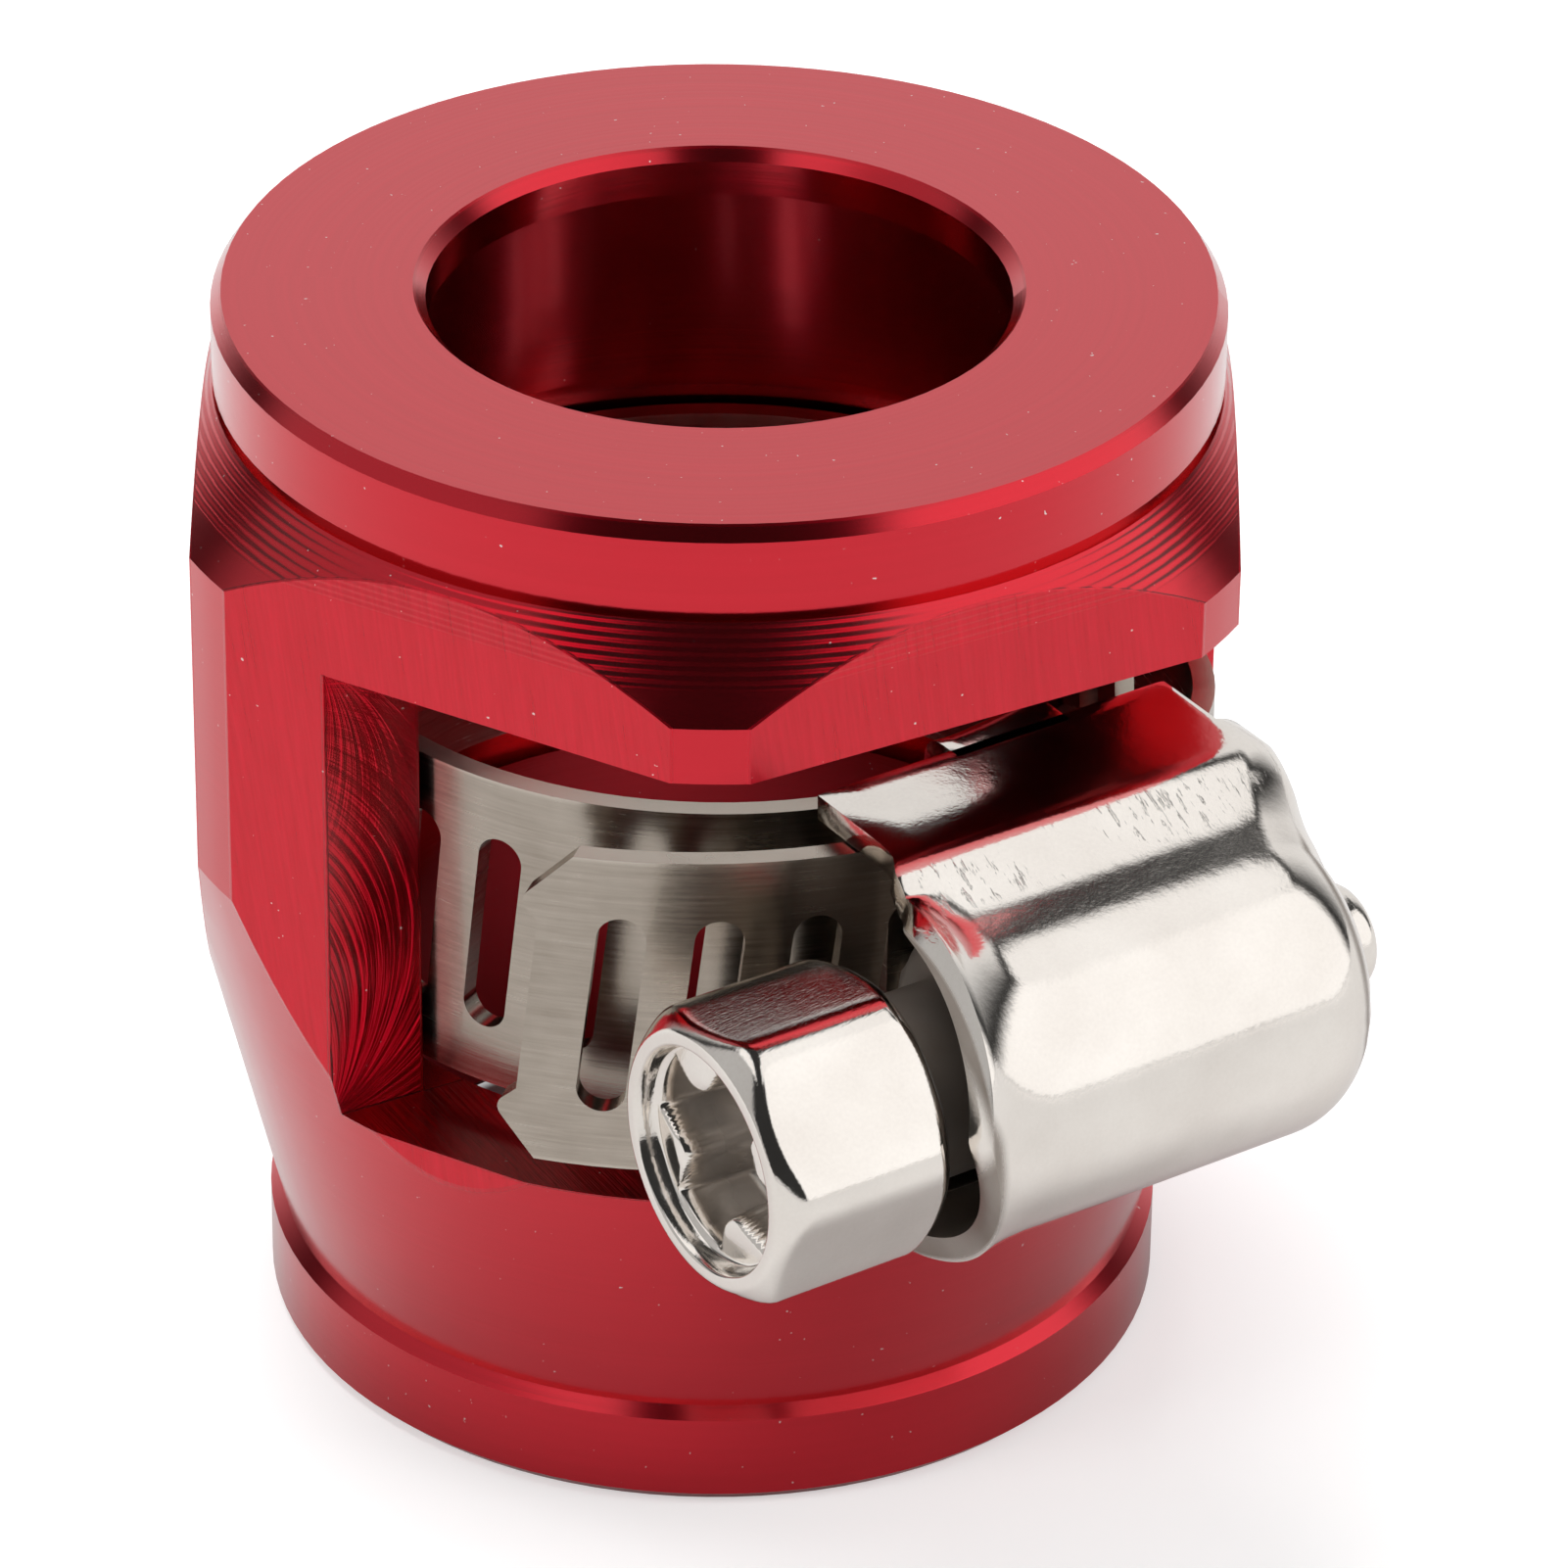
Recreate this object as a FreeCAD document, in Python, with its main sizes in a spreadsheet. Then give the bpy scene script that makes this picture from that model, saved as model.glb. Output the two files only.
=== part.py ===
import FreeCAD, Part
import math
import os
import Sketcher

# Hose end finisher: a hexagonal turned socket that hides a small worm drive clamp.
# The frame stands on the tail's end face, with Z along the hose and a hexagon corner at -Y.

V = FreeCAD.Vector
up = V(0, 0, 1)

# Driving sizes in millimetres and degrees
sizes = {
    # socket, outwards from the bore that takes the hose
    "boreRadius": 8.75,
    "boreChamfer": 0.4,
    "grooveDepth": 0.95,
    "flatWall": 1.8,
    "cornerStand": 1.31,
    "tailWall": 1.65,
    "tailLength": 2.3,
    "tailChamfer": 0.3,
    "neckDepth": 0.28,
    "neckStep": 0.25,
    "taperTop": 13.9,
    # socket, upper end
    "socketLength": 25.8,
    "collarWall": 2.95,
    "collarLength": 1.95,
    "rimChamferWidth": 0.24,
    "rimChamferHeight": 0.34,
    "undercutDepth": 0.2,
    "undercutWidth": 0.3,
    "shoulderHeight": 2.06,
    "crownHeight": 1.34,
    "lipWidth": 1.82,
    "lipThickness": 1.1,
    "lipChamfer": 0.28,
    "boreStep": 0.2,
    "upperBoreLength": 3.4,
    "middleBoreLength": 1.0,
    # window milled across one flat, and the groove behind it
    "windowSpare": 2.1,
    "windowDepthPlane": 3.05,
    "windowTurn": 30,
    "grooveDrop": 1.55,
    # how far a cutting outline runs past the piece
    "cutMargin": 3.0,
    # clamp band
    "clampTurn": 34,
    "seatGap": 0.1,
    "foldGap": 0.05,
    "layerGap": 0.05,
    "bandWidth": 7.9,
    "bandThickness": 0.5,
    "loopClearance": 0.25,
    "attachedEndAngle": 26,
    "flatLength": 3.0,
    "bendRadius": 5.0,
    "tailCurl": 12.1,
    "tailReach": 10.6,
    "earReach": 0.5,
    "earCorner": 1.1,
    "earHalfHeight": 2.7,
    "earNotch": 0.5,
    "slotLength": 5.0,
    "slotWidth": 1.1,
    "slotPhase": 0.35,
    "plainEndAngle": 30,
    # saddle between the two layers of the band
    "saddleThickness": 1.34,
    "saddleLeft": 2.4,
    "saddleRight": 4.2,
    "saddleBevel": 1.8,
    "saddleDrop": 0.35,
    "saddleSideGap": 0.1,
    # worm screw
    "threadPitch": 2.1,
    "crestRadius": 3.0,
    "rootRadius": 2.1,
    "crestWidth": 0.5,
    "toothFoot": 1.1,
    "threadReach": 0.2,
    "threadStop": 0.7,
    "coreEnd": 4.8,
    "coreGap": 0.8,
    "headGap": 0.35,
    "headLength": 4.33,
    "headAcrossFlats": 6.1,
    "headChamfer": 0.55,
    "headBackChamfer": 0.35,
    "counterboreDepth": 0.5,
    "recessInset": 0.3,
    "recessWidth": 1.5,
    "recessDepth": 2.6,
    "nubRadius": 1.25,
    "nubStand": 1.3,
    "nubRound": 0.4,
    "nubClearance": 0.06,
    "headRimInset": 0.125,
    "headRimWidth": 0.4,
    "headCornerStand": 0.3,
    "headTurn": 52,
    "recessTurn": 20,
    "toothRoot": 0.15,
    # pressed housing round the worm
    "sheetThickness": 0.6,
    "barrelClearance": 0.15,
    "barrelRound": 2.0,
    "mouthStart": 3.2,
    "mouthFlare": 2.21,
    "mouthLength": 1.4,
    "mouthRise": 0.5,
    "rimSlant": 0.42,
    "barrelCut": 1.2,
    "barrelSag": 0.03,
    "skirtLap": 0.75,
    "skirtEdge": 9.3,
    "skirtSetback": 1.1,
    "skirtEndGap": 0.3,
    "skirtShoulder": 2.3,
    "toeStart": 0.0,
    "toeWidth": 3.0,
    "toeReach": 2.2,
}

doc = FreeCAD.newDocument("HoseEndFinisher")
sheet = doc.addObject("Spreadsheet::Sheet", "Sizes")
for row, name in enumerate(sizes, 1):
    sheet.set("A%d" % row, name)
    sheet.set("B%d" % row, str(sizes[name]))
    sheet.setAlias("B%d" % row, name)
doc.recompute()


# Radii round the hose axis, outwards, that several pieces share
grooveRadius = "boreRadius + grooveDepth"
flatRadius = grooveRadius + " + flatWall"
cornerRadius = flatRadius + " + cornerStand"
tailRadius = "boreRadius + tailWall"
neckRadius = tailRadius + " - neckDepth"
middleBore = "boreRadius - boreStep"
upperBore = middleBore + " - boreStep"
collarRadius = upperBore + " + collarWall"
lipRadius = upperBore + " - lipWidth"
loopOuter = grooveRadius + " - loopClearance"
stripBottom = loopOuter + " + layerGap + saddleThickness + layerGap"
stripTop = stripBottom + " + bandThickness"
screwLine = stripTop + " + crestRadius - threadReach"
barrelInner = "crestRadius + barrelClearance"
barrelOuter = barrelInner + " + sheetThickness"

# Levels up and down from the middle of the clamp, and up from the tail's end face
bandHalf = "bandWidth / 2"
skirtInner = bandHalf + " + foldGap"
skirtOuter = skirtInner + " + sheetThickness"
windowHeight = "seatGap + " + skirtOuter + " + " + skirtOuter + " + windowSpare"
collarFoot = "socketLength - collarLength"
shoulderFoot = collarFoot + " - shoulderHeight"
windowTop = shoulderFoot + " - crownHeight"
lipFoot = "socketLength - lipThickness"
upperBoreFoot = lipFoot + " - upperBoreLength"
middleBoreFoot = upperBoreFoot + " - middleBoreLength"

# Places along the screw, from its head to its tip
rimBack = "0 - mouthStart - mouthLength"
headBack = rimBack + " - rimSlant - headGap"
headFace = headBack + " - headLength"
barrelEnd = "coreEnd + coreGap + sheetThickness"
nubEnd = barrelEnd + " + nubStand"
skirtStart = rimBack + " + skirtSetback"


def less(text):
    # the same sum with its sign turned, alone or to follow another sum
    swapped = {"+": "-", "-": "+"}
    return "- " + " ".join(swapped.get(word, word) for word in text.split())


windowFloor = windowTop + " " + less(windowHeight)
skirtLength = barrelEnd + " - skirtEndGap " + less(skirtStart)


def number(text):
    # value of a sum of products of size names and numbers, all separated by blanks
    total = 0.0
    sign = 1.0
    term = None
    divide = False
    for word in text.split():
        if word in "+-":
            if term is not None:
                total += sign * term
            sign = 1.0 if word == "+" else -1.0
            term = None
        elif word in "*/":
            divide = word == "/"
        else:
            factor = float(sheet.get(word)) if word in sizes else float(word)
            if term is None:
                term = factor
            else:
                term = term / factor if divide else term * factor
    return total + sign * term


def bound(text):
    # the same sum as a formula on the named sizes
    return " ".join("Sizes." + word if word in sizes else word for word in text.split())


def newBody(name):
    body = doc.addObject("PartDesign::Body", name)
    body.Label = name
    return body


def newSketch(body, name, role, offset=None):
    # an outline on one of the body's own planes, set off along its own axes by named sums
    sketch = body.newObject("Sketcher::SketchObject", name)
    planes = [item for item in body.Origin.OriginFeatures if item.Role == role]
    sketch.AttachmentSupport = [(planes[0], "")]
    sketch.MapMode = "FlatFace"
    for axis, text in (offset or {}).items():
        sketch.setExpression("AttachmentOffset.Base." + axis, bound(text))
    return sketch


def bindDatum(sketch, constraint, text):
    # a dimension that follows its named sum
    index = sketch.addConstraint(constraint)
    sketch.setExpression("Constraints[%d]" % index, bound(text))


def pinPoint(sketch, edge, end, corner):
    # ties one end of an edge to the origin by two named distances
    for kind, axis, text in (("DistanceX", -2, corner[0]), ("DistanceY", -1, corner[1])):
        if text == "0":
            sketch.addConstraint(Sketcher.Constraint("PointOnObject", edge, end, axis))
        else:
            distance = Sketcher.Constraint(kind, -1, 1, edge, end, number(text))
            bindDatum(sketch, distance, text)


def drawProfile(sketch, corners):
    # closed outline of corners (x, y); a corner (x, y, radius, side) is reached by an arc
    # whose centre lies to the left of the way (side 1) or to its right (side -1)
    points = [V(number(corner[0]), number(corner[1]), 0) for corner in corners]
    count = len(corners)
    first = sketch.GeometryCount
    ends = []
    for k in range(count):
        start = points[k]
        finish = points[(k + 1) % count]
        corner = corners[(k + 1) % count]
        if len(corner) == 2:
            sketch.addGeometry(Part.LineSegment(start, finish), False)
            ends.append((1, 2))
            continue
        radius = number(corner[2])
        chord = finish - start
        rise = math.sqrt(max(radius ** 2 - chord.Length ** 2 / 4, 0))
        normal = V(-chord.y, chord.x, 0).normalize()
        centre = (start + finish) / 2 + normal * rise * corner[3]
        angles = [math.atan2(p.y - centre.y, p.x - centre.x) for p in (start, finish)]
        if corner[3] < 0:
            angles.reverse()
        circle = Part.Circle(centre, up, radius)
        sketch.addGeometry(Part.ArcOfCircle(circle, angles[0], angles[1]), False)
        ends.append((1, 2) if corner[3] > 0 else (2, 1))
    for k in range(count):
        after = (k + 1) % count
        sketch.addConstraint(
            Sketcher.Constraint("Coincident", first + k, ends[k][1], first + after, ends[after][0]))
    for k in range(count):
        pinPoint(sketch, first + k, ends[k][0], corners[k])
        arc = corners[(k + 1) % count]
        if len(arc) > 2:
            bindDatum(sketch, Sketcher.Constraint("Radius", first + k, number(arc[2])), arc[2])


def drawHexagon(sketch, inscribed, turn):
    # regular hexagon round the origin with one corner on the vertical or horizontal axis
    circumradius = number(inscribed) * 2 / math.sqrt(3)
    first = sketch.GeometryCount
    angles = [math.radians(turn + 60 * k) for k in range(6)]
    corners = [V(math.cos(a), math.sin(a), 0) * circumradius for a in angles]
    for k in range(6):
        sketch.addGeometry(Part.LineSegment(corners[k], corners[(k + 1) % 6]), False)
    circle = sketch.addGeometry(Part.Circle(V(0, 0, 0), up, circumradius), True)
    sketch.addConstraint(Sketcher.Constraint("Coincident", circle, 3, -1, 1))
    for k in range(6):
        sketch.addConstraint(Sketcher.Constraint("Coincident", first + k, 2, first + (k + 1) % 6, 1))
        sketch.addConstraint(Sketcher.Constraint("PointOnObject", first + k, 1, circle))
    for k in range(1, 6):
        sketch.addConstraint(Sketcher.Constraint("Equal", first, first + k))
    axis = -2 if turn == 90 else -1
    sketch.addConstraint(Sketcher.Constraint("PointOnObject", first, 1, axis))
    index = sketch.addConstraint(Sketcher.Constraint("Radius", circle, circumradius))
    sketch.setExpression("Constraints[%d]" % index, "( " + bound(inscribed) + " ) * 2 / sqrt(3)")


def drawCircle(sketch, radius):
    circle = sketch.addGeometry(Part.Circle(V(0, 0, 0), up, number(radius)), False)
    sketch.addConstraint(Sketcher.Constraint("Coincident", circle, 3, -1, 1))
    bindDatum(sketch, Sketcher.Constraint("Radius", circle, number(radius)), radius)


def revolve(body, name, sketch, axis):
    turned = body.newObject("PartDesign::Revolution", name)
    turned.Profile = sketch
    turned.ReferenceAxis = (sketch, [axis])
    turned.Angle = 360
    doc.recompute()
    return turned


def pad(body, name, sketch, length):
    feature = body.newObject("PartDesign::Pad", name)
    feature.Profile = sketch
    feature.setExpression("Length", bound(length))
    doc.recompute()
    return feature


def pocket(body, name, sketch, length, reverse=False, both=False):
    # cuts along the sketch's normal or against it, and makes sure that it has cut
    before = body.Shape.Volume
    feature = body.newObject("PartDesign::Pocket", name)
    feature.Profile = sketch
    feature.setExpression("Length", bound(length))
    feature.Reversed = reverse
    feature.Midplane = both
    doc.recompute()
    if body.Shape.Volume > before - 0.001:
        raise RuntimeError(name + " cuts nothing")
    return feature


def makeSocket():
    # turned blank, six milled flats, and a window milled square to the front right flat
    body = newBody("socket")
    profile = newSketch(body, "SocketProfile", "XZ_Plane")
    drawProfile(profile, [
        ("boreRadius + boreChamfer", "0"),
        (tailRadius + " - tailChamfer", "0"),
        (tailRadius, "tailChamfer"),
        (tailRadius, "tailLength"),
        (neckRadius, "tailLength + neckStep"),
        (cornerRadius, "taperTop"),
        (cornerRadius, shoulderFoot),
        (collarRadius, collarFoot + " - undercutWidth"),
        (collarRadius + " - undercutDepth", collarFoot + " - undercutWidth"),
        (collarRadius + " - undercutDepth", collarFoot),
        (collarRadius, collarFoot),
        (collarRadius, "socketLength - rimChamferHeight"),
        (collarRadius + " - rimChamferWidth", "socketLength"),
        (lipRadius + " + lipChamfer", "socketLength"),
        (lipRadius, "socketLength - lipChamfer"),
        (lipRadius, lipFoot),
        (upperBore, lipFoot),
        (upperBore, upperBoreFoot),
        (middleBore, upperBoreFoot),
        (middleBore, middleBoreFoot),
        ("boreRadius", middleBoreFoot),
        ("boreRadius", windowTop + " - grooveDrop"),
        (grooveRadius, windowTop + " - grooveDrop"),
        (grooveRadius, windowFloor),
        ("boreRadius", windowFloor),
        ("boreRadius", "boreChamfer"),
    ])
    revolve(body, "TurnedBlank", profile, "V_Axis")
    flats = newSketch(body, "SocketFlats", "XY_Plane")
    drawCircle(flats, cornerRadius + " + cutMargin")
    drawHexagon(flats, flatRadius, 90)
    pocket(body, "MilledFlats", flats, "socketLength", True)
    window = newSketch(body, "WindowOutline", "XY_Plane", {"z": windowFloor})
    window.setExpression("AttachmentOffset.Rotation.Angle", bound("windowTurn"))
    reach = cornerRadius + " + cutMargin"
    drawProfile(window, [
        (less(reach), "0 - windowDepthPlane"),
        (less(reach), less(reach)),
        (reach, less(reach)),
        (reach, "0 - windowDepthPlane"),
    ])
    pocket(body, "Window", window, windowHeight, True)
    return body


def clampPlacement():
    # X runs along the screw from head to tip, -Y points out through the window
    turn = FreeCAD.Rotation(up, number("clampTurn"))
    height = number(windowFloor + " + seatGap + " + skirtOuter)
    return FreeCAD.Placement(V(0, 0, height), turn)


def makeSaddle():
    # pressed pad that keeps the two layers of the band apart and carries the outer one
    body = newBody("clamp_saddle")
    body.Placement = clampPlacement()
    crown = loopOuter + " + layerGap + saddleThickness"
    plan = newSketch(body, "SaddlePlan", "XY_Plane", {"z": "saddleSideGap - " + bandHalf})
    drawProfile(plan, [
        ("0 - saddleLeft", less(crown + " - saddleDrop")),
        ("saddleBevel - saddleLeft", less(crown)),
        ("saddleRight - saddleBevel", less(crown)),
        ("saddleRight", less(crown + " - saddleDrop")),
        ("saddleRight", "0"),
        ("0 - saddleLeft", "0"),
    ])
    pad(body, "SaddleBlank", plan, "bandWidth - saddleSideGap - saddleSideGap")
    seat = newSketch(body, "SaddleSeat", "XY_Plane")
    drawCircle(seat, loopOuter + " + layerGap")
    pocket(body, "SaddleHollow", seat, "bandWidth", both=True)
    return body


def arcAcross(sketch, radiusText):
    # one edge of a fold's plan, on a circle round the hose
    radius = number(radiusText)
    ends = [number("toeStart"), number("toeStart + toeWidth")]
    angles = [-math.acos(x / radius) for x in ends]
    arc = Part.ArcOfCircle(Part.Circle(V(0, 0, 0), up, radius), angles[0], angles[1])
    index = sketch.addGeometry(arc, False)
    sketch.addConstraint(Sketcher.Constraint("Coincident", index, 3, -1, 1))
    bindDatum(sketch, Sketcher.Constraint("Radius", index, radius), radiusText)
    return index, [V(x, -math.sqrt(radius ** 2 - x ** 2), 0) for x in ends]


def lineAcross(sketch, levelText):
    # one edge of a fold's plan, straight along the screw
    level = number(levelText)
    corners = [V(number(place), level, 0) for place in ("toeStart", "toeStart + toeWidth")]
    index = sketch.addGeometry(Part.LineSegment(corners[0], corners[1]), False)
    sketch.addConstraint(Sketcher.Constraint("Horizontal", index))
    bindDatum(sketch, Sketcher.Constraint("DistanceY", -1, 1, index, 1, level), levelText)
    return index, corners


def closeAcross(sketch, first, second):
    # the two sides of a fold's plan
    for side, place in enumerate(("toeStart", "toeStart + toeWidth")):
        edge = Part.LineSegment(first[1][side], second[1][side])
        index = sketch.addGeometry(edge, False)
        sketch.addConstraint(Sketcher.Constraint("Coincident", index, 1, first[0], side + 1))
        sketch.addConstraint(Sketcher.Constraint("Coincident", index, 2, second[0], side + 1))
        sketch.addConstraint(Sketcher.Constraint("Vertical", index))
        distance = Sketcher.Constraint("DistanceX", -1, 1, index, 1, number(place))
        bindDatum(sketch, distance, place)


def makeWormHousing():
    # pressed shell: a barrel with a flared mouth and a domed end, on two skirts that straddle
    # the band and fold under its inner layer
    body = newBody("worm_housing")
    body.Placement = clampPlacement()
    rimTop = barrelOuter + " + mouthRise"
    section = newSketch(body, "BarrelSection", "XY_Plane", {"y": less(screwLine)})
    drawProfile(section, [
        ("0 - mouthStart", barrelOuter, "mouthFlare", 1),
        (barrelEnd + " - barrelRound", barrelOuter),
        (barrelEnd, barrelOuter + " - barrelRound", "barrelRound", -1),
        (barrelEnd, "nubRadius + nubClearance"),
        ("coreEnd + coreGap", "nubRadius + nubClearance"),
        ("coreEnd + coreGap", barrelOuter + " - barrelRound"),
        (barrelEnd + " - barrelRound", barrelInner, "barrelRound - sheetThickness", 1),
        ("0 - mouthStart", barrelInner),
        (rimBack + " - rimSlant", rimTop + " - rimSlant", "mouthFlare + sheetThickness", -1),
        (rimBack, rimTop),
    ])
    revolve(body, "Barrel", section, "H_Axis")
    opening = newSketch(body, "BandOpening", "XY_Plane")
    drawProfile(opening, [
        (less(barrelEnd), less(screwLine + " - barrelCut")),
        (barrelEnd + " + cutMargin", less(screwLine + " - barrelCut")),
        (barrelEnd + " + cutMargin", "0"),
        (less(barrelEnd), "0"),
    ])
    pocket(body, "BarrelOpening", opening, "crestRadius * 4", both=True)
    lap = screwLine + " - barrelCut + skirtLap"
    skirtPlan = newSketch(body, "SkirtSection", "YZ_Plane", {"z": skirtStart})
    drawProfile(skirtPlan, [
        ("0 - skirtEdge", skirtInner),
        (less(stripTop + " + layerGap + layerGap"), skirtInner),
        (less(lap), barrelInner + " - barrelSag"),
        (less(lap), barrelOuter + " - barrelSag"),
        ("0 - skirtEdge - skirtShoulder", skirtOuter),
        ("0 - skirtEdge", skirtOuter),
    ])
    skirt = pad(body, "Skirt", skirtPlan, skirtLength)
    toeOuter = loopOuter + " - bandThickness - layerGap"
    toeInner = toeOuter + " - sheetThickness"
    tabFoot = "skirtEdge + skirtLap"
    tabPlan = newSketch(body, "TabPlan", "XY_Plane", {"z": skirtInner})
    closeAcross(tabPlan, arcAcross(tabPlan, toeInner), lineAcross(tabPlan, less(tabFoot)))
    tab = pad(body, "Tab", tabPlan, "sheetThickness")
    toePlan = newSketch(body, "ToePlan", "XY_Plane", {"z": skirtOuter + " - toeReach"})
    closeAcross(toePlan, arcAcross(toePlan, toeInner), arcAcross(toePlan, toeOuter))
    toe = pad(body, "Toe", toePlan, "toeReach")
    mirrored = body.newObject("PartDesign::Mirrored", "LowerSkirt")
    mirrored.Originals = [skirt, tab, toe]
    plane = [item for item in body.Origin.OriginFeatures if item.Role == "XY_Plane"]
    mirrored.MirrorPlane = (plane[0], [""])
    body.Tip = mirrored
    doc.recompute()
    return body


def makeWormScrew():
    # turned screw with its axis on Z, head downwards, then laid along the clamp
    body = newBody("ScrewBlank")
    profile = newSketch(body, "ScrewProfile", "XZ_Plane")
    headCorner = "headAcrossFlats / 2 + headCornerStand"
    headRim = "headAcrossFlats / 2 - headRimInset"
    drawProfile(profile, [
        ("0", headFace),
        (headRim, headFace),
        (headCorner, headFace + " + headChamfer"),
        (headCorner, headBack + " - headBackChamfer"),
        (headCorner + " - headBackChamfer", headBack),
        ("rootRadius", headBack),
        ("rootRadius", "coreEnd"),
        ("nubRadius", "coreEnd"),
        ("nubRadius", nubEnd + " - nubRound"),
        ("nubRadius - nubRound", nubEnd),
        ("0", nubEnd),
    ])
    revolve(body, "TurnedScrew", profile, "V_Axis")
    flats = newSketch(body, "HeadFlats", "XY_Plane", {"z": headFace})
    drawCircle(flats, headCorner + " + cutMargin")
    drawHexagon(flats, "headAcrossFlats / 2", 0)
    flats.setExpression("AttachmentOffset.Rotation.Angle", bound("headTurn"))
    pocket(body, "HexHead", flats, "headLength", True)
    bore = newSketch(body, "CounterboreCircle", "XY_Plane", {"z": headFace})
    counterbore = headRim + " - headRimWidth"
    drawCircle(bore, counterbore)
    pocket(body, "Counterbore", bore, "counterboreDepth", True)
    cross = newSketch(body, "CrossOutline", "XY_Plane", {"z": headFace})
    cross.setExpression("AttachmentOffset.Rotation.Angle", bound("recessTurn"))
    span = counterbore + " - recessInset"
    wide = "recessWidth / 2"
    corners = [(span, wide), (wide, wide), (wide, span)]
    outline = []
    for signX, signY in ((1, 1), (-1, 1), (-1, -1), (1, -1)):
        quarter = [(x if signX > 0 else less(x), y if signY > 0 else less(y)) for x, y in corners]
        outline += quarter if signX * signY > 0 else quarter[::-1]
    drawProfile(cross, outline)
    pocket(body, "CrossRecess", cross, "recessDepth", True)

    helix = doc.addObject("Part::Helix", "ThreadLine")
    helix.setExpression("Pitch", bound("threadPitch"))
    helix.setExpression("Height", bound("coreEnd - threadStop + slotPhase + threadPitch"))
    helix.setExpression("Radius", bound("rootRadius"))
    start = "0 - slotPhase - threadPitch"
    helix.setExpression("Placement.Base.z", bound(start))
    tooth = doc.addObject("Sketcher::SketchObject", "ToothSection")
    tooth.Placement = FreeCAD.Placement(V(0, 0, 0), FreeCAD.Rotation(V(1, 0, 0), 90))
    drawProfile(tooth, [
        ("rootRadius - toothRoot", start + " - toothFoot / 2"),
        ("crestRadius", start + " - crestWidth / 2"),
        ("crestRadius", start + " + crestWidth / 2"),
        ("rootRadius - toothRoot", start + " + toothFoot / 2"),
    ])
    doc.recompute()
    thread = doc.addObject("Part::Sweep", "Thread")
    thread.Sections = [tooth]
    thread.Spine = (helix, ["Edge%d" % (k + 1) for k in range(len(helix.Shape.Edges))])
    thread.Solid = True
    thread.Frenet = True
    doc.recompute()
    screw = doc.addObject("Part::Fuse", "worm_screw")
    screw.Label = "worm_screw"
    screw.Base = body
    screw.Tool = thread
    along = FreeCAD.Rotation(V(1, 1, 1), 120)
    seat = FreeCAD.Placement(V(0, -number(screwLine), 0), along)
    screw.Placement = clampPlacement().multiply(seat)
    doc.recompute()
    return screw


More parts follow.
